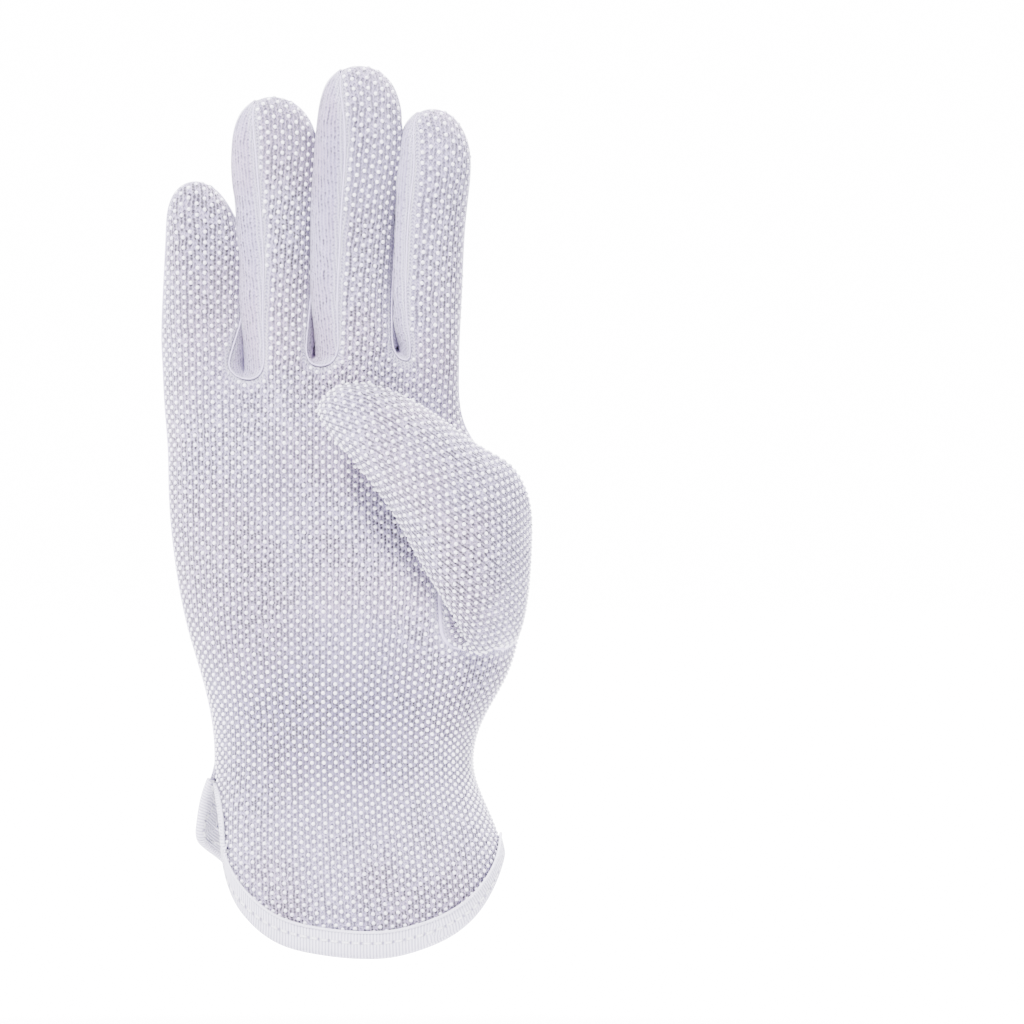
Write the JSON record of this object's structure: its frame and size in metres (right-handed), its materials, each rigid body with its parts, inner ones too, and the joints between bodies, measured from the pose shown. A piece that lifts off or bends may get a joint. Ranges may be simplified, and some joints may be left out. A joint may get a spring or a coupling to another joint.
{
  "type": "cotton glove",
  "caption": "Right-hand cotton glove with a dotted palm, strips between the fingers, raised points on the back, a gathered wrist and a bound cuff with a side vent.",
  "frame": {"origin": "centre of the wrist opening, level with the lowest part of the hem", "axes": "+Z from the cuff to the fingertips, -Y the way the palm faces, +X towards the thumb's side"},
  "size_m": [0.1048, 0.0683, 0.2502],
  "materials": {
    "dotted_jersey": "knitted cotton with soft white grip dots",
    "plain_jersey": "fine plain knitted cotton",
    "binding": "ribbed cotton binding, stitched"
  },
  "bodies": {
    "root": {"palm_panel": "dotted_jersey", "thumb": "dotted_jersey", "back_panel": "plain_jersey", "fourchette_little_ring": "plain_jersey", "fourchette_ring_middle": "plain_jersey", "fourchette_middle_index": "plain_jersey", "back_point_index": "plain_jersey", "back_point_middle": "plain_jersey", "back_point_ring": "plain_jersey", "cuff_binding": "binding"}
  },
  "joints": []
}
